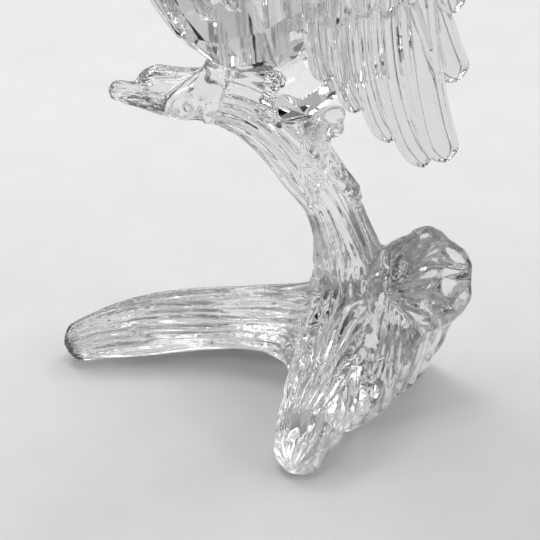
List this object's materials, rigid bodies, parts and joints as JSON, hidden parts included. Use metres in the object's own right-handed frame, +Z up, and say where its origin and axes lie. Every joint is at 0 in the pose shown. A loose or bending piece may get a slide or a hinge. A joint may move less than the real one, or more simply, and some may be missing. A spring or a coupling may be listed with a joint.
{
  "type": "crystal eagle figurine",
  "caption": "Clear crystal eagle with half-open layered wings, perched on a moulded branch that rises from gnarled roots beside a cut stump.",
  "frame": {"origin": "on the floor plane under the centre of the object's box", "axes": "+Z up, +X towards the cut stump, the perch branch's tips and the bird's beak towards -X, the broad front root towards -Y"},
  "size_m": [0.077, 0.058, 0.1329],
  "materials": {
    "moulded_crystal": "clear moulded lead glass, fire-polished, wood grain cast in",
    "cut_crystal": "clear crystal, facet-cut and polished",
    "wing_crystal": "clear pressed crystal, polished, bevelled feather rims"
  },
  "bodies": {
    "root": {"branch_base": "moulded_crystal", "body": "cut_crystal", "tail": "cut_crystal", "left_wing": "wing_crystal", "right_wing": "wing_crystal"}
  },
  "joints": []
}
